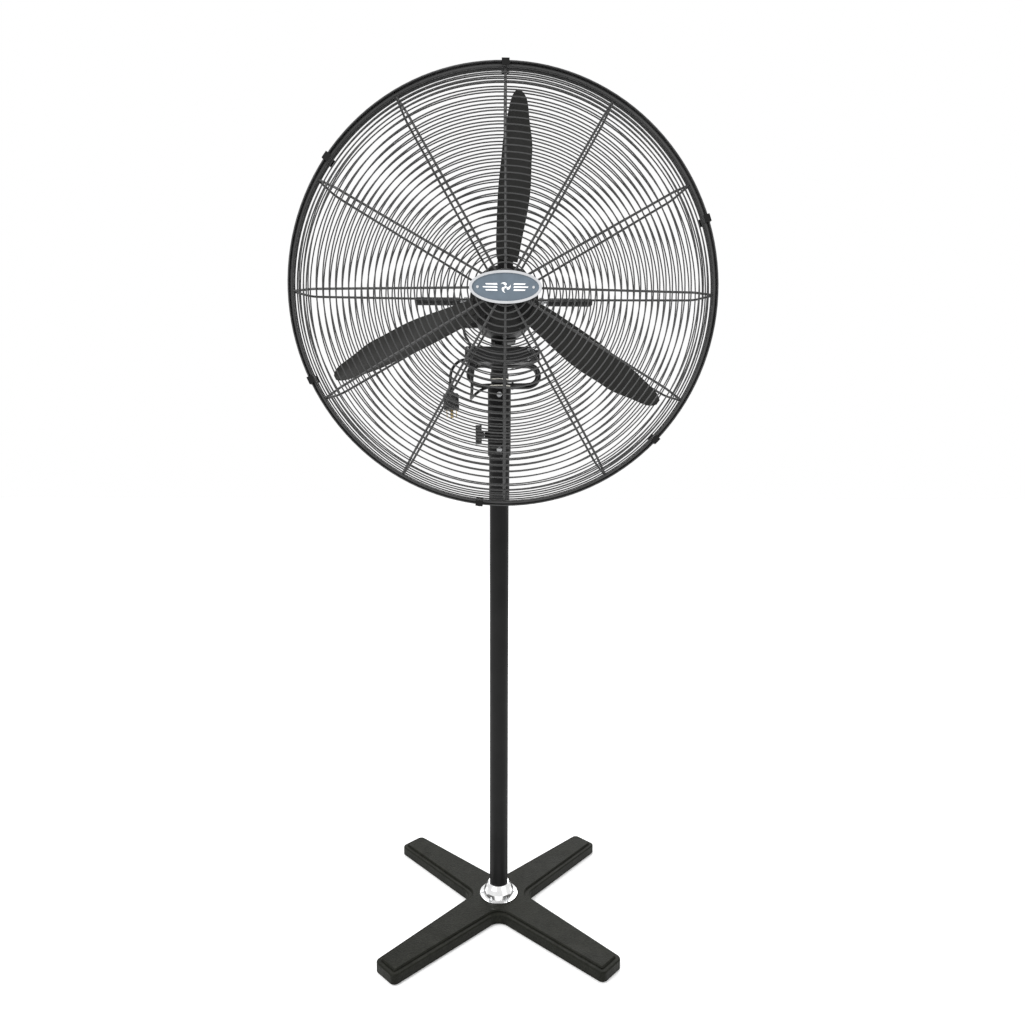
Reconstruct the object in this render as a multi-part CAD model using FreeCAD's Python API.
"""Industrial pedestal fan: cross base, telescopic post, tilting motor head and welded wire guards.

Millimetres, +Z up. The origin is on the floor, on the axis of the post. The fan blows towards -Y.
The head rests turned a little to +X and nosed down, as PAN_REST and TILT_REST say.
"""

import FreeCAD, Part
import math
import os
from FreeCAD import Vector

# ---- driving dimensions: base and post
LEG_REACH = 322.0
LEG_ROOT_HALF = 46.0
LEG_TIP_HALF = 32.0
LEG_UNDERSIDE = 4.0
LEG_SHOULDER = 24.0
BASE_TOP = 28.0
SHEET = 3.0
FOOT_DISTANCE = 294.0
FLANGE_R = 43.0
FLANGE_TOP = 58.0
POST_R = 20.65
POST_BORE_R = 18.65
POST_TOP = 1060.0
SLEEVE_BOTTOM = 932.0
SLEEVE_STEP = 1035.0
SLEEVE_TOP = 1183.0
SLEEVE_R = 25.0
KNOB_Z = 1080.0
MAST_R = 18.0
MAST_BORE_R = 16.0
MAST_BOTTOM = 700.0
MAST_TOP = 1198.0

# ---- driving dimensions: neck, switch box and cord
PIVOT_Z = 1262.0
PAN_REST = 0.5
TILT_REST = 2.96
FORK_HALF = 10.4
EAR_OUTER = 17.0
BOX_LEFT, BOX_RIGHT = -72.0, 66.0
BOX_FRONT, BOX_BACK = -64.0, -22.0
BOX_LOW, BOX_HIGH = 1228.0, 1260.0
BOX_WALL = 2.5
BOX_SCREW_Z = 1237.0
SWITCH_Y, SWITCH_Z = -43.0, 1244.0
CORD_R = 3.2
LEAD_R = 2.8
GLAND_X, GLAND_Y = -58.0, -43.0
HANK_X, HANK_Y, HANK_Z = 10.0, 36.0, 1212.0
HANK_RUN = 110.0
HANK_FOLD_R = 23.0
HANK_DEEP = 21.0
HANK_THICK = 14.0

# ---- driving dimensions: head, along the motor's axis from the rim plane, forward positive
AXIS_RISE = 86.5
AXIS_SIDE = 8.0
RIM_FORWARD = 186.5
RIM_R = 400.0
RIM_HALF_WIDTH = 14.0
RING_R = 1.4
RING_SIDES = 8
SPOKE_R = 2.3
RIM_WIRE_R = 3.5
WELD = 0.4
RING_PITCH = 12.0
SPOKES = 12
GUARD_PLATE_R = 82.0
GUARD_PLATE_FRONT = -72.0
COVER_FACE = -74.5
MOTOR_R = 68.0
HOUSING_FRONT = -88.0
HOUSING_BACK = -184.0
COVER_BACK = -198.0
STACK_FRONT = -104.0
STACK_BACK = -166.0
BEARING_R = 20.0
SHAFT_R = 8.5
HUB_SHAFT_R = 7.0
HUB_R = 32.0
HUB_FRONT = 8.0
HUB_BACK = -16.0
BLADE_PITCH = 30.0
BLADE_THICK = 2.4
BLADE_ANGLES = (88.0, 208.0, 328.0)
HANDLE_Z = -96.0
CLIP_ANGLES = (20.0, 90.0, 144.0, 204.0, 263.0, 317.0)

ORIGIN = Vector(0, 0, 0)
X, Y, Z = Vector(1, 0, 0), Vector(0, 1, 0), Vector(0, 0, 1)
NODES = {}


def keep(name, *solids):
    """One named sub-part, of one solid or of a group of separate ones."""
    NODES[name] = solids[0] if len(solids) == 1 else Part.makeCompound(list(solids))


def cyl(radius, low, high, axis=Z, at=ORIGIN):
    """Cylinder about an axis through 'at', from low to high along it."""
    return Part.makeCylinder(radius, high - low, at + axis * low, axis)


def tube(inner, outer, low, high, axis=Z, at=ORIGIN):
    return cyl(outer, low, high, axis, at).cut(cyl(inner, low - 1, high + 1, axis, at))


def block(x0, x1, y0, y1, z0, z1):
    return Part.makeBox(x1 - x0, y1 - y0, z1 - z0, Vector(x0, y0, z0))


def hexagon(across, low, high, axis=Z, at=ORIGIN):
    """Hexagonal prism about an axis."""
    ring = []
    for k in range(7):
        a = math.radians(60 * k)
        ring.append(Vector(across / math.sqrt(3) * math.cos(a), across / math.sqrt(3) * math.sin(a), low))
    prism = Part.Face(Part.makePolygon(ring)).extrude(Vector(0, 0, high - low))
    prism.Placement = FreeCAD.Placement(at, FreeCAD.Rotation(Z, axis))
    return prism


def turned(profile, axis=Z):
    """Solid of revolution about Z from (radius, height) points, then laid along the axis."""
    points = [Vector(r, 0, h) for r, h in profile]
    solid = Part.Face(Part.makePolygon(points + points[:1])).revolve(ORIGIN, Z, 360)
    solid.Placement = FreeCAD.Placement(ORIGIN, FreeCAD.Rotation(Z, axis))
    return solid


def moved(shape, by):
    copy = shape.copy()
    copy.translate(by)
    return copy


def spun(shape, angle, axis=Z, about=ORIGIN):
    copy = shape.copy()
    copy.rotate(about, axis, angle)
    return copy


def rounded(shape, radius, wanted):
    """Fillet the edges for which wanted(edge) is true."""
    return shape.makeFillet(radius, [e for e in shape.Edges if wanted(e)])


def along(edge, axis):
    line = edge.Vertexes[-1].Point - edge.Vertexes[0].Point
    return len(edge.Vertexes) == 2 and line.Length > 1e-6 and abs(line.normalize().dot(axis)) > 0.999


def on_neck(shape):
    """Turn a piece of the swivelling neck from straight ahead to its rest direction."""
    return spun(shape, PAN_REST)


def on_head(shape):
    """Set a piece drawn about the tilt pivot, with the motor level, in its rest pose."""
    return on_neck(moved(spun(shape, TILT_REST, X), Vector(0, 0, PIVOT_Z)))


def on_axis(shape):
    """Set a piece drawn about the motor's axis, with Z forward and its origin in the rim plane."""
    return on_head(moved(spun(shape, 90, X), Vector(AXIS_SIDE, -RIM_FORWARD, AXIS_RISE)))


# ---- paths of wire and cord
def corner_arc(before, corner, after, radius):
    """Start, middle and end of the arc that rounds one corner of a route."""
    back = (before - corner).normalize()
    ahead = (after - corner).normalize()
    half_turn = (math.pi - back.getAngle(ahead)) / 2
    reach = radius * math.tan(half_turn)
    middle = corner + (back + ahead).normalize() * (math.hypot(reach, radius) - radius)
    return corner + back * reach, middle, corner + ahead * reach


def largest_radius(before, corner, after):
    """The radius whose arc takes 0.45 of the shorter of a corner's two runs."""
    half_turn = (math.pi - (before - corner).getAngle(after - corner)) / 2
    return 0.45 * min((before - corner).Length, (after - corner).Length) / math.tan(half_turn)


def rounded_path(points, radius=None):
    """Straight runs joined by tangent arcs, all of one radius or each as large as its runs allow."""
    edges, start, radii = [], points[0], []
    for before, corner, after in zip(points, points[1:], points[2:]):
        arc_radius = radius or largest_radius(before, corner, after)
        radii.append(arc_radius)
        begin, middle, end = corner_arc(before, corner, after, arc_radius)
        edges.append(Part.LineSegment(start, begin).toShape())
        edges.append(Part.Arc(begin, middle, end).toShape())
        start = end
    edges.append(Part.LineSegment(start, points[-1]).toShape())
    return Part.Wire(edges), radii


def round_bar(path, radius):
    """Round bar along a smooth path."""
    first = path.Edges[0]
    begin = first.valueAt(first.FirstParameter)
    section = Part.Wire(Part.makeCircle(radius, begin, first.tangentAt(first.FirstParameter)))
    return path.makePipeShell([section], True, False, 2)


def cord_tube(label, points, radius):
    """Tube along a route, with its volume and bends printed for checking."""
    path, radii = rounded_path([Vector(*p) for p in points])
    bar = round_bar(path, radius)
    ratio = bar.Volume / (math.pi * radius ** 2 * path.Length)
    print(label, "length %.1f" % path.Length, "volume ratio %.4f" % ratio)
    print(label, "bend radii", ", ".join("%.1f" % r for r in radii))
    return on_neck(bar)


# ---- base
def leg_cross(inset, low, high, corner=26.0):
    """Four tapering legs on the diagonals in one block, with rounded tips and inner corners."""
    root, tip, reach = LEG_ROOT_HALF - inset, LEG_TIP_HALF - inset, LEG_REACH - inset
    outline = [Vector(0, -root, low), Vector(reach, -tip, low), Vector(reach, tip, low), Vector(0, root, low)]
    leg = Part.Face(Part.makePolygon(outline + outline[:1])).extrude(Vector(0, 0, high - low))
    legs = [spun(leg, 45 + 90 * k) for k in range(4)]
    cross = legs[0].multiFuse(legs[1:]).removeSplitter()
    upright = [e for e in cross.Edges if along(e, Z)]
    inner = [e for e in upright if math.hypot(e.Vertexes[0].X, e.Vertexes[0].Y) < 0.5 * LEG_REACH]
    cross = cross.makeFillet(corner, inner)
    return rounded(cross, 12.0 - inset, lambda e: along(e, Z) and
                   math.hypot(e.Vertexes[0].X, e.Vertexes[0].Y) > 0.9 * reach)


def make_base():
    lower = leg_cross(0, LEG_UNDERSIDE, LEG_SHOULDER)
    lower = rounded(lower, 3.0, lambda e: e.BoundBox.ZMin > LEG_SHOULDER - 0.01)
    plateau = leg_cross(9.0, LEG_SHOULDER - 1, BASE_TOP, 30.0)
    plateau = plateau.makeChamfer(2.5, [e for e in plateau.Edges if e.BoundBox.ZMin > BASE_TOP - 0.01])
    hollow = leg_cross(SHEET, LEG_UNDERSIDE - 1, LEG_SHOULDER - SHEET)
    hollow = hollow.cut(cyl(48, 0, 40))
    base = lower.fuse(plateau).cut(hollow)
    base = base.cut(cyl(16, 0, 14)).cut(cyl(6.1, 0, 40))
    screw_at = [Vector(38 * math.cos(math.radians(60 * k)), 38 * math.sin(math.radians(60 * k)), 0)
                for k in range(6)]
    flange = turned([(POST_R + 0.05, BASE_TOP), (FLANGE_R, BASE_TOP), (FLANGE_R, BASE_TOP + 3),
                     (35, BASE_TOP + 4), (33, BASE_TOP + 13), (28.5, BASE_TOP + 22), (24, FLANGE_TOP - 2),
                     (23, FLANGE_TOP), (POST_R + 0.05, FLANGE_TOP)])
    for p in screw_at:
        base = base.cut(cyl(2.05, 15, 40, at=p))
        flange = flange.cut(cyl(2.1, 20, 60, at=p))
        flange = flange.cut(cyl(4.2, BASE_TOP + 2.5, 60, at=p))
    screws = [cyl(3.6, BASE_TOP + 2.5, BASE_TOP + 5, at=p).fuse(cyl(2, 16, BASE_TOP + 2.6, at=p))
              for p in screw_at]
    keep("base_cross", base)
    keep("base_flange", flange)
    keep("flange_screws", *screws)
    pad = turned([(0, 0), (13, 0), (15, 2), (15, LEG_SHOULDER - SHEET), (0, LEG_SHOULDER - SHEET)])
    keep("foot_pads", *[spun(moved(pad, Vector(FOOT_DISTANCE, 0, 0)), 45 + 90 * k) for k in range(4)])
    keep("centre_bolt", hexagon(18, 5, 12).fuse(cyl(6, 11.9, 66)), tube(6.2, 15, 12, 14))


# ---- post, clamp sleeve and height lock
def make_post():
    keep("outer_post", tube(POST_BORE_R, POST_R, BASE_TOP, POST_TOP))
    keep("post_plug", tube(6.05, POST_BORE_R - 0.05, BASE_TOP, 72))
    sleeve = turned([(POST_R + 0.05, SLEEVE_BOTTOM), (22.2, SLEEVE_BOTTOM), (22.2, SLEEVE_STEP - 2),
                     (SLEEVE_R, SLEEVE_STEP), (SLEEVE_R, SLEEVE_TOP), (19.5, SLEEVE_TOP),
                     (19.5, POST_TOP + 6), (POST_R + 0.05, POST_TOP + 4)])
    boss = cyl(9, -32, -21, X, Vector(0, 0, KNOB_Z)).cut(cyl(20.5, KNOB_Z - 20, KNOB_Z + 20))
    sleeve = sleeve.fuse(boss).cut(cyl(4.1, -40, -10, X, Vector(0, 0, KNOB_Z)))
    bolt_at = [Vector(0, 0, 1048), Vector(0, 0, 1165)]
    for p in bolt_at:
        sleeve = sleeve.cut(cyl(3.05, -30, -18, Y, p))
    keep("clamp_sleeve", sleeve)
    head = [cyl(5.5, -28, -24.6, Y, p).cut(cyl(SLEEVE_R, 1000, 1200)) for p in bolt_at]
    shank = [cyl(3, -26, -20.75, Y, p) for p in bolt_at]
    keep("sleeve_bolts", *[h.fuse(s) for h, s in zip(head, shank)])
    liner = tube(MAST_R + 0.06, 19.45, POST_TOP + 7, SLEEVE_TOP)
    liner = liner.fuse(tube(MAST_R + 0.06, 23.5, SLEEVE_TOP, SLEEVE_TOP + 3))
    keep("sleeve_liner", liner.cut(cyl(4.2, -30, -10, X, Vector(0, 0, KNOB_Z))))
    bar = rounded(block(-51.5, -38.5, -7.5, 7.5, KNOB_Z - 21, KNOB_Z + 21), 3.5, lambda e: along(e, X))
    hub = cyl(9, -39, -33, X, Vector(0, 0, KNOB_Z))
    keep("lock_knob", bar.fuse(hub).cut(cyl(4.05, -46, -30, X, Vector(0, 0, KNOB_Z))))
    keep("lock_screw", cyl(4, -46, -MAST_R - 0.3, X, Vector(0, 0, KNOB_Z)))


def make_mast():
    keep("mast", tube(MAST_BORE_R, MAST_R, MAST_BOTTOM, MAST_TOP))
    foot = cyl(POST_BORE_R - 0.15, MAST_BOTTOM - 4, MAST_BOTTOM)
    keep("mast_foot", foot.fuse(cyl(MAST_BORE_R - 0.05, MAST_BOTTOM - 1, MAST_BOTTOM + 30)))
    keep("pan_washer", tube(MAST_BORE_R + 0.05, 20, MAST_TOP, MAST_TOP + 2))


# ---- neck and switch box
def make_neck():
    neck = cyl(MAST_BORE_R - 0.06, 1150, MAST_TOP + 3).fuse(cyl(20, MAST_TOP + 2.05, 1212))
    neck = neck.fuse(cyl(18, 1211, 1240)).fuse(block(-EAR_OUTER, EAR_OUTER, -14, 14, 1236, PIVOT_Z))
    neck = neck.fuse(cyl(14, -EAR_OUTER, EAR_OUTER, X, Vector(0, 0, PIVOT_Z)))
    neck = neck.fuse(block(-14, 14, BOX_BACK, -8, 1214, 1244))
    neck = neck.cut(block(-FORK_HALF, FORK_HALF, -30, 30, 1246, 1290))
    neck = neck.cut(cyl(5.1, -30, 30, X, Vector(0, 0, PIVOT_Z)))
    for x in (-8, 8):
        neck = neck.cut(cyl(2.05, BOX_BACK - 1, -11.5, Y, Vector(x, 0, BOX_SCREW_Z)))
    keep("neck_bracket", on_neck(neck))
    pivot = Vector(0, 0, PIVOT_Z)
    bolt = cyl(5, -19, 29, X, pivot).fuse(hexagon(16, -25, -18.5, X, pivot))
    nut = hexagon(16, 18.5, 26, X, pivot).cut(cyl(5.05, 0, 40, X, pivot))
    washers = [tube(5.2, 9, 17, 18.5, X, pivot), tube(5.2, 9, -18.5, -17, X, pivot)]
    keep("tilt_bolt", *[on_neck(piece) for piece in [bolt, nut] + washers])
    arm_top = HANK_Z + HANK_FOLD_R - HANK_THICK / 2 - 0.1
    tip = HANK_Y + HANK_DEEP / 2 + 0.8
    hook = block(-7, 7, 15, 20, 1212, arm_top).fuse(block(-7, 7, 19, tip + 2, arm_top - 3, arm_top))
    hook = hook.fuse(block(-7, 7, tip, tip + 2, arm_top - 1, arm_top + 12)).cut(cyl(18.02, 1200, 1240))
    keep("cord_hook", on_neck(hook))


def make_switch_box():
    screw_at = [Vector(x, 0, z) for x in (BOX_LEFT + 6, BOX_RIGHT - 6) for z in (BOX_LOW + 6, BOX_HIGH - 6)]
    shell = rounded(block(BOX_LEFT, BOX_RIGHT, BOX_FRONT, BOX_BACK, BOX_LOW, BOX_HIGH), 5.0,
                    lambda e: along(e, Y))
    shell = shell.cut(block(BOX_LEFT + BOX_WALL, BOX_RIGHT - BOX_WALL, BOX_FRONT - 1, BOX_BACK - BOX_WALL,
                            BOX_LOW + BOX_WALL, BOX_HIGH - BOX_WALL))
    cover = rounded(block(BOX_LEFT, BOX_RIGHT, BOX_FRONT - 3, BOX_FRONT, BOX_LOW, BOX_HIGH), 5.0,
                    lambda e: along(e, Y))
    cover = cover.makeChamfer(1.2, [e for e in cover.Edges if e.BoundBox.YMax < BOX_FRONT - 2.9])
    screws = []
    for p in screw_at:
        shell = shell.fuse(cyl(4, BOX_FRONT, BOX_BACK - 1, Y, p)).cut(cyl(1.5, BOX_FRONT - 1, -48, Y, p))
        cover = cover.cut(cyl(1.6, BOX_FRONT - 5, BOX_FRONT + 1, Y, p))
        screws.append(cyl(3, BOX_FRONT - 4.8, BOX_FRONT - 3, Y, p).fuse(cyl(1.4, BOX_FRONT - 3.2, -50, Y, p)))
    for x in (-8, 8):
        shell = shell.cut(cyl(2.1, BOX_BACK - 5, BOX_BACK + 1, Y, Vector(x, 0, BOX_SCREW_Z)))
    knob_line = Vector(0, SWITCH_Y, SWITCH_Z)
    shell = shell.cut(cyl(3.3, BOX_RIGHT - 5, BOX_RIGHT + 1, X, knob_line))
    shell = shell.cut(cyl(7.1, BOX_LOW - 1, BOX_LOW + 5, Z, Vector(GLAND_X, GLAND_Y, 0)))
    shell = shell.cut(cyl(LEAD_R + 1.3, BOX_HIGH - 9, BOX_HIGH + 1, Z, Vector(-60, -36, 0)))
    keep("switch_box", on_neck(shell))
    keep("box_cover", on_neck(cover))
    for x in (-8, 8):
        at = Vector(x, 0, BOX_SCREW_Z)
        head = cyl(3.4, BOX_BACK - BOX_WALL - 2, BOX_BACK - BOX_WALL, Y, at)
        screws.append(head.fuse(cyl(2, BOX_BACK - BOX_WALL - 0.5, -12, Y, at)))
    keep("box_screws", *[on_neck(s) for s in screws])
    switch = block(36, 55, SWITCH_Y - 11, SWITCH_Y + 11, BOX_LOW + BOX_WALL, 1255)
    keep("speed_switch", on_neck(switch.cut(cyl(3.1, 47, 70, X, knob_line))))
    grip = rounded(cyl(15, BOX_RIGHT + 0.8, BOX_RIGHT + 8, X, knob_line), 1.0,
                   lambda e: e.BoundBox.XMin > BOX_RIGHT + 7.9)
    ridge = rounded(block(BOX_RIGHT + 7, BOX_RIGHT + 18, SWITCH_Y - 3.5, SWITCH_Y + 3.5,
                          SWITCH_Z - 13, SWITCH_Z + 13), 2.5, lambda e: along(e, X))
    keep("speed_knob", on_neck(grip.fuse(ridge).fuse(cyl(3, 48, BOX_RIGHT + 2, X, knob_line))))
    keep("capacitor", on_neck(cyl(11, -18, 32, X, Vector(0, -42, BOX_LOW + BOX_WALL + 11.05))))
    terminals = block(-52, -28, -38, BOX_BACK - BOX_WALL, 1236, 1250)
    for x in (-47, -40, -33):
        terminals = terminals.cut(cyl(1.6, -40, -30, Y, Vector(x, 0, 1243)))
    keep("terminal_block", on_neck(terminals))
    gland_at = Vector(GLAND_X, GLAND_Y, 0)
    gland = hexagon(17, BOX_LOW - 5, BOX_LOW, Z, gland_at).fuse(cyl(7, BOX_LOW - 1, BOX_LOW + 4.5, Z, gland_at))
    keep("cord_gland", on_neck(gland.cut(cyl(CORD_R + 0.3, BOX_LOW, BOX_LOW + 8, Z, gland_at))))
    boot = Part.makeCone(4.4, 7.2, 24, Vector(GLAND_X, GLAND_Y, BOX_LOW - 29), Z)
    keep("strain_relief", on_neck(boot))


# ---- mains cord: gland, hank hung on the hook behind the neck, and the plug
CORD_TO_HANK = [(-58, -43, 1199), (-58, -42, 1181), (-59, -31, 1165), (-61, -12, 1157), (-61, 9, 1159),
                (-55, 27, 1168), (-41, 36, 1180), (-22, 38, 1187)]
CORD_TO_PLUG = [(-26, 38, 1237), (-47, 34, 1243), (-67, 26, 1246), (-86, 17, 1242), (-100, 9, 1228),
                (-107, 4, 1209), (-106, 1, 1189)]
MOTOR_LEAD = [(-60, -36, 1252), (-61, -35, 1266), (-68, -29, 1279), (-74, -21, 1290), (-76, -14, 1301.5)]


def stadium(run, radius, low, high):
    """Upright slab with round ends, its long axis along X, between two planes of constant Y."""
    slab = block(-run / 2, run / 2, low, high, -radius, radius)
    for side in (-1, 1):
        slab = slab.fuse(cyl(radius, low, high, Y, Vector(side * run / 2, 0, 0)))
    return slab.removeSplitter()


def make_cord():
    keep("power_cord", cord_tube("gland to hank", CORD_TO_HANK, CORD_R),
         cord_tube("hank to plug", CORD_TO_PLUG, CORD_R))
    keep("motor_lead", cord_tube("motor lead", MOTOR_LEAD, LEAD_R))
    low, high = -HANK_DEEP / 2, HANK_DEEP / 2
    hank = stadium(HANK_RUN, HANK_FOLD_R + HANK_THICK / 2, low, high)
    hank = hank.cut(stadium(HANK_RUN, HANK_FOLD_R - HANK_THICK / 2, low - 1, high + 1))
    keep("cord_hank", on_neck(moved(hank, Vector(HANK_X, HANK_Y, HANK_Z))))
    ties = []
    for side in (-1, 1):
        run_z = HANK_Z + side * HANK_FOLD_R
        half, deep = HANK_THICK / 2 + 0.1, HANK_DEEP / 2 + 0.1
        tie = block(27, 32, HANK_Y - deep - 1.2, HANK_Y + deep + 1.2, run_z - half - 1.2, run_z + half + 1.2)
        ties.append(on_neck(tie.cut(block(26, 33, HANK_Y - deep, HANK_Y + deep, run_z - half, run_z + half))))
    keep("cord_tie", *ties)


def make_plug():
    """Moulded three-pin plug, drawn hanging from its cord end at the origin."""
    boot = Part.makeCone(6.5, 4.2, 22, Vector(0, 0, -22), Z)
    body = rounded(block(-16.5, 16.5, -11, 11, -56, -22), 7.0, lambda e: along(e, Z))
    body = rounded(body, 3.0, lambda e: e.BoundBox.ZMin > -22.01)
    pins = [block(-11, -9.4, -3.2, 3.2, -73, -56), block(9.4, 11, -3.2, 3.2, -73, -56),
            block(-3.2, 3.2, 5, 6.6, -73, -56)]
    end = Vector(*CORD_TO_PLUG[-1])
    fall = (end - Vector(*CORD_TO_PLUG[-2])).normalize()
    turn = FreeCAD.Rotation(Z * -1, fall)
    hang = FreeCAD.Placement(end, turn)
    for name, solids in (("plug", [boot.fuse(body)]), ("plug_pins", pins)):
        for solid in solids:
            solid.Placement = hang.multiply(solid.Placement)
        keep(name, *[on_neck(s) for s in solids])


# ---- motor
def bearing(low):
    """Deep-groove ball bearing about the motor's axis: inner race, outer race and eight balls."""
    high = low + 12
    groove = Part.makeTorus(14.0, 3.0, Vector(0, 0, low + 6))
    inner = tube(SHAFT_R + 0.02, 11.6, low, high).cut(groove)
    outer = tube(16.4, BEARING_R, low, high).cut(groove)
    balls = [spun(Part.makeSphere(2.95, Vector(14, 0, low + 6)), 45 * k) for k in range(8)]
    return [inner, outer] + balls


def vent_slots(cover, low, high):
    """Eight radial air slots through a motor cover."""
    for k in range(8):
        slot = block(32, 54, -3.5, 3.5, low, high)
        cover = cover.cut(spun(slot, 22.5 + 45 * k))
    return cover


def make_motor():
    keep("motor_housing", on_axis(housing_with_ribs()))
    front = turned([(9.4, COVER_FACE), (MOTOR_R, COVER_FACE), (MOTOR_R, HOUSING_FRONT), (64, HOUSING_FRONT),
                    (64, COVER_FACE - 4), (26, COVER_FACE - 4), (26, COVER_FACE - 16), (BEARING_R + 0.02,
                    COVER_FACE - 16), (BEARING_R + 0.02, COVER_FACE - 4), (9.4, COVER_FACE - 4)])
    back = turned([(0, COVER_BACK), (60, COVER_BACK), (MOTOR_R, COVER_BACK + 6), (MOTOR_R, HOUSING_BACK),
                   (64, HOUSING_BACK), (64, COVER_BACK + 7), (26, COVER_BACK + 4), (26, COVER_BACK + 16),
                   (BEARING_R + 0.02, COVER_BACK + 16), (BEARING_R + 0.02, COVER_BACK + 4), (0, COVER_BACK + 4)])
    back = vent_slots(back, COVER_BACK - 1, COVER_BACK + 9)
    screws_front, screws_back = [], []
    for k in range(4):
        at = spun(Part.Vertex(48, 0, 0), 45 + 90 * k).Point
        front = front.cut(cyl(2.55, COVER_FACE - 6, COVER_FACE + 1, at=at))
        screws_front.append(cyl(2.5, COVER_FACE - 8, GUARD_PLATE_FRONT + 0.1, at=at).fuse(
            cyl(4.5, GUARD_PLATE_FRONT, GUARD_PLATE_FRONT + 3, at=at)))
        rear_at = spun(Part.Vertex(59, 0, 0), 45 + 90 * k).Point
        back = back.cut(cyl(2.05, COVER_BACK - 1, COVER_BACK + 9, at=rear_at))
        screws_back.append(cyl(2, COVER_BACK - 0.5, COVER_BACK + 10, at=rear_at).fuse(
            cyl(3.6, COVER_BACK - 3, COVER_BACK, at=rear_at)))
    keep("motor_front_cover", on_axis(front))
    keep("motor_rear_cover", on_axis(back))
    keep("motor_screws", *[on_axis(s) for s in screws_front + screws_back])
    keep("motor_bearings", *[on_axis(s) for s in bearing(COVER_FACE - 16) + bearing(COVER_BACK + 4)])
    stator = tube(37, 63.95, STACK_BACK, STACK_FRONT)
    for k in range(24):
        stator = stator.cut(spun(block(36, 52, -1.6, 1.6, STACK_BACK - 1, STACK_FRONT + 1), 15 * k))
    keep("stator_core", on_axis(stator))
    coils = [turned([(40, low), (44, low + 11), (56, low + 11), (60, low)]) for low in (STACK_FRONT,)]
    coils.append(turned([(40, STACK_BACK), (60, STACK_BACK), (56, STACK_BACK - 11), (44, STACK_BACK - 11)]))
    keep("stator_windings", *[on_axis(c) for c in coils])
    keep("rotor", on_axis(tube(SHAFT_R + 0.01, 36.5, STACK_BACK, STACK_FRONT)))
    shaft = cyl(SHAFT_R, COVER_BACK + 5, -60).fuse(cyl(HUB_SHAFT_R, -61, HUB_FRONT))
    keep("motor_shaft", on_axis(shaft.fuse(cyl(5.5, HUB_FRONT, HUB_FRONT + 16))))


def housing_with_ribs():
    """Motor shell with low cooling ribs along it, left off where the saddle and studs sit."""
    shell = tube(64, MOTOR_R, HOUSING_BACK, HOUSING_FRONT)
    for k in range(36):
        angle = 10 * k
        if 235 < angle < 305 or angle % 180 < 15 or angle % 180 > 165 or 185 < angle < 225:
            continue
        rib = block(MOTOR_R - 0.5, MOTOR_R + 2, -1, 1, HOUSING_BACK + 5, HOUSING_FRONT - 5)
        shell = shell.fuse(spun(rib, angle))
    for side in (0, 180):
        shell = shell.cut(spun(cyl(4.55, 60, 75, X, Vector(0, 0, HANDLE_Z)), side))
    return shell


def make_head_fittings():
    """Tilt lug, lead elbow and the two side handles."""
    motor_bed = cyl(MOTOR_R + 0.03, -60, 60, Y, Vector(AXIS_SIDE, 0, AXIS_RISE))
    pivot_round = cyl(14.5, -FORK_HALF + 0.3, FORK_HALF - 0.3, X)
    lug = pivot_round.fuse(block(-FORK_HALF + 0.3, FORK_HALF - 0.3, -14.5, 14.5, 0, 18))
    lug = lug.fuse(block(AXIS_SIDE - 26, AXIS_SIDE + 26, -34, 34, 15, 34)).cut(motor_bed)
    keep("motor_lug", on_head(lug.cut(cyl(5.1, -40, 40, X))))
    elbow = rounded(block(-84, -40, -22, -6, 44, 58), 4.0, lambda e: along(e, X))
    keep("lead_elbow", on_head(elbow.cut(motor_bed)))
    studs, nuts, grips = [], [], []
    grip = turned([(4.55, 88), (7, 88), (8, 90), (8, 173), (5, 178), (4.55, 178)], X)
    for side in (0, 180):
        line = Vector(0, 0, HANDLE_Z)
        studs.append(on_axis(spun(cyl(4.5, 62, 177, X, line), side)))
        nuts.append(on_axis(spun(hexagon(16, 71, 80, X, line).cut(cyl(4.55, 60, 90, X, line)), side)))
        grips.append(on_axis(spun(moved(grip, line), side)))
    keep("handle_studs", *studs, *nuts)
    keep("handle_grips", *grips)


# ---- impeller
# radius, trailing edge, leading edge, pitch angle and camber of each blade section
BLADE_SECTIONS = [(60, 17, 22, 30, 0.5), (98, 20, 28, 30, 0.5), (140, 20, 35, 28, 3.0), (190, 19, 41, 25, 4.0),
                  (245, 15, 41, 22, 4.0), (295, 10, 37, 20, 3.2), (330, 4, 31, 18, 2.4), (350, -2, 25, 17, 1.6),
                  (358, -8, 17, 17, 0.8)]


def blade_section(radius, trailing, leading, pitch, camber):
    """Closed section across a blade that points along +X, its leading edge at -Y and to the rear."""
    slope = math.tan(math.radians(pitch))
    half = BLADE_THICK / 2 / math.cos(math.radians(pitch))
    middle = (trailing - leading) / 2
    upper = [Vector(radius, trailing, trailing * slope + half),
             Vector(radius, middle, middle * slope + half - camber),
             Vector(radius, -leading, -leading * slope + half)]
    lower = [Vector(p.x, p.y, p.z - 2 * half) for p in reversed(upper)]
    return Part.Wire([Part.Arc(*upper).toShape(), Part.LineSegment(upper[2], lower[0]).toShape(),
                      Part.Arc(*lower).toShape(), Part.LineSegment(lower[2], upper[0]).toShape()])


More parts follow.
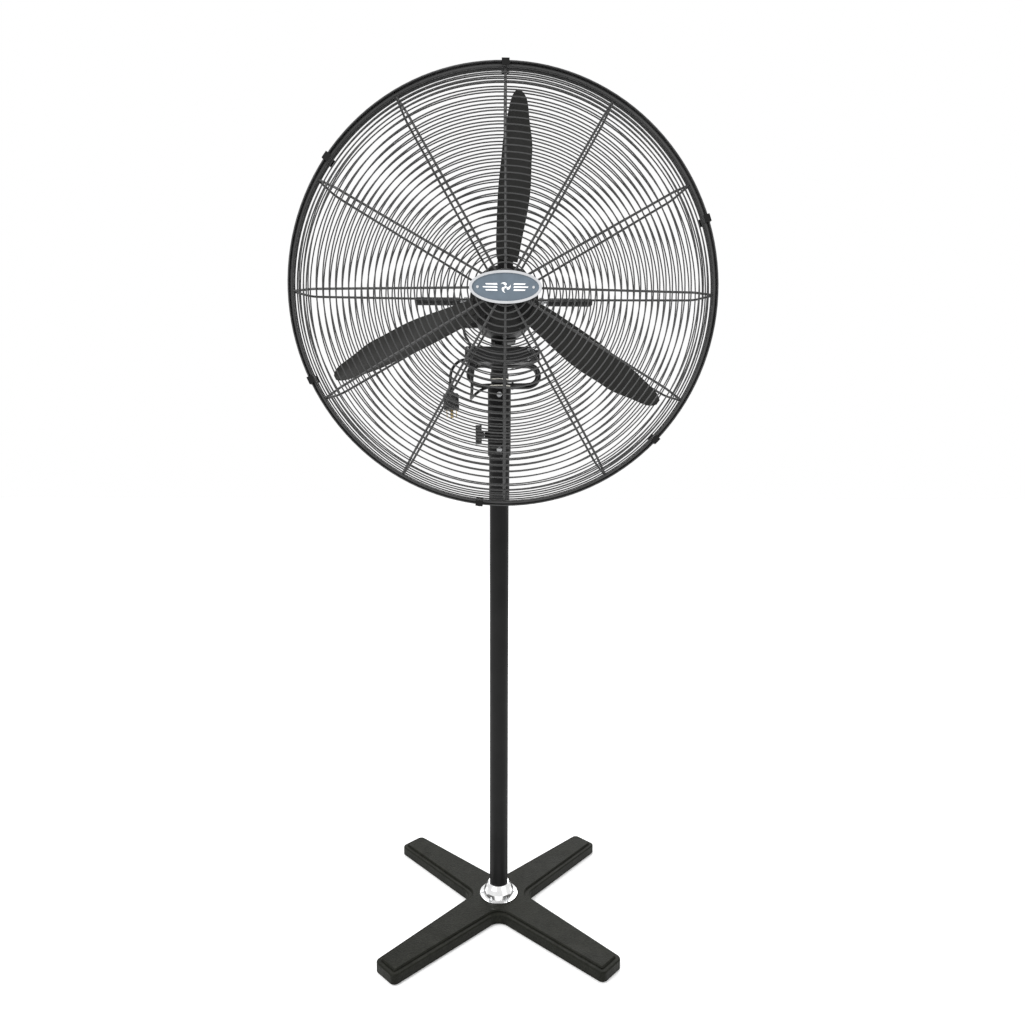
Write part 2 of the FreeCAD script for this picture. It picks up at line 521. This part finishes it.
def make_impeller():
    blade = Part.makeLoft([blade_section(*s) for s in BLADE_SECTIONS], True, False)
    arm = block(18, 92, -17, 15, -6.0, -1.9)
    rivet_at = [Vector(70, -7, 0), Vector(70, 7, 0), Vector(84, 0, 0)]
    rivets = []
    for p in rivet_at:
        blade = blade.cut(spun(cyl(2.05, -8, 8, at=p), BLADE_PITCH, X))
        arm = arm.cut(cyl(2.05, -8, 8, at=p))
        rivet = cyl(2, -8, 2, at=p).fuse(cyl(4, 1.4, 3, at=p)).fuse(cyl(3.4, -8, -6.1, at=p))
        rivets.append(spun(rivet, BLADE_PITCH, X))
    arm = spun(arm, BLADE_PITCH, X)
    hub = tube(HUB_SHAFT_R + 0.02, HUB_R, HUB_BACK, HUB_FRONT)
    bore = cyl(HUB_SHAFT_R + 0.02, HUB_BACK - 20, HUB_FRONT + 20)
    hub = hub.multiFuse([spun(arm, angle) for angle in BLADE_ANGLES]).cut(bore)
    keep("impeller_hub", on_axis(hub))
    for k, angle in enumerate(BLADE_ANGLES):
        keep("blade_%d" % (k + 1), on_axis(spun(blade, angle)))
    keep("blade_rivets", *[on_axis(spun(r, angle)) for angle in BLADE_ANGLES for r in rivets])
    nut = hexagon(17, HUB_FRONT + 2, HUB_FRONT + 11).cut(cyl(5.55, 0, 40))
    keep("hub_nut", on_axis(nut), on_axis(tube(5.6, 13, HUB_FRONT, HUB_FRONT + 2)))


# ---- guards
FRONT_PATH = [Vector(20, 0, 60), Vector(60, 0, 60), Vector(350, 0, 30), Vector(391.5, 0, 6)]
REAR_PATH = [Vector(62, 0, -70.1), Vector(90, 0, -70.1), Vector(372, 0, -56), Vector(391.5, 0, -6)]


def ring_beside(wire, distance, side):
    """Ring welded across the spokes, at a distance along one spoke's line, on its outer side.

    Its section is eight-sided, with the area of the round wire and one flat towards the spokes.
    """
    for edge in wire.Edges:
        if distance <= edge.Length:
            break
        distance -= edge.Length
    at = edge.getParameterByLength(distance)
    forward = edge.tangentAt(at)
    outward = Vector(-forward.z, 0, forward.x) * side
    step = math.pi / RING_SIDES
    corner_r = RING_R * math.sqrt(step / (math.sin(step) * math.cos(step)))
    centre = edge.valueAt(at) + outward * (corner_r * math.cos(step) + SPOKE_R - WELD)
    corners = []
    for k in range(RING_SIDES + 1):
        turn = (2 * k + 1) * step
        corners.append(centre + (outward * math.cos(turn) + forward * math.sin(turn)) * corner_r)
    return Part.Face(Part.makePolygon(corners)).revolve(ORIGIN, Z, 360)


def welded_guard(path, side, distances, extra=()):
    """Spokes, rings and rim wire welded into one guard."""
    wire, _ = rounded_path(path, 22.0)
    spoke = round_bar(wire, SPOKE_R)
    pieces = [spun(spoke, 360 / SPOKES * k) for k in range(SPOKES)]
    pieces += [ring_beside(wire, d, side) for d in distances]
    rim_wire = Part.makeTorus(394.5, RIM_WIRE_R, Vector(0, 0, path[-1].z))
    return rim_wire.multiFuse(pieces + list(extra))


def make_guards():
    face = [12 + RING_PITCH * k for k in range(27)]
    keep("front_guard", on_axis(welded_guard(FRONT_PATH, 1, face + [340, 351, 362])))
    plate = tube(31, GUARD_PLATE_R, COVER_FACE, GUARD_PLATE_FRONT)
    for k in range(4):
        at = spun(Part.Vertex(48, 0, 0), 45 + 90 * k).Point
        plate = plate.cut(cyl(2.6, COVER_FACE - 1, GUARD_PLATE_FRONT + 1, at=at))
    face = [26 + RING_PITCH * k for k in range(24)]
    keep("rear_guard", on_axis(welded_guard(REAR_PATH, -1, face + [313, 323, 332, 341, 350], [plate])))
    band = tube(RIM_R - 1.95, RIM_R, -RIM_HALF_WIDTH, RIM_HALF_WIDTH)
    clip = block(RIM_R + 0.05, RIM_R + 3, -7, 7, -15.8, 15.8)
    for low in (-15.8, 14.1):
        clip = clip.fuse(block(391, RIM_R + 3, -7, 7, low, low + 1.7))
    clip = clip.cut(cyl(1.7, 380, 410, X))
    screw = cyl(1.6, 399, RIM_R + 3.1, X).fuse(cyl(3.2, RIM_R + 3, RIM_R + 5, X))
    clips, screws = [], []
    for angle in CLIP_ANGLES:
        band = band.cut(spun(cyl(1.7, 380, 410, X), angle))
        clips.append(on_axis(spun(clip, angle)))
        screws.append(on_axis(spun(screw, angle)))
    keep("rim_band", on_axis(band))
    keep("rim_clips", *clips)
    keep("rim_screws", *screws)


def oval(half_x, half_y, low, high):
    edge = Part.Ellipse(ORIGIN, half_x, half_y).toShape()
    return moved(Part.Face(Part.Wire(edge)), Vector(0, 0, low)).extrude(Vector(0, 0, high - low))


def make_badge():
    plate = oval(64, 28, 64.9, 67)
    rivets = []
    for x in (-50, 50):
        at = Vector(x, 0, 0)
        plate = plate.cut(cyl(1.3, 60, 70, at=at))
        rivets.append(on_axis(cyl(1.25, 62.4, 67.1, at=at).fuse(cyl(2.4, 67, 68.2, at=at))))
    keep("badge_plate", on_axis(plate))
    keep("badge_frame", on_axis(oval(65, 29, 67, 69).cut(oval(60, 24.5, 66, 70))))
    keep("badge_rivets", *rivets)


def main():
    os.makedirs("parts", exist_ok=True)
    make_base()
    make_post()
    make_mast()
    make_neck()
    make_switch_box()
    make_cord()
    make_plug()
    make_motor()
    make_head_fittings()
    make_impeller()
    make_guards()
    make_badge()
    for name, shape in NODES.items():
        if not shape.isValid() or not shape.Solids:
            print("CHECK", name, "valid", shape.isValid(), "solids", len(shape.Solids))
        shape.exportStep("parts/%s.step" % name)
    print(len(NODES), "sub-parts")


main()
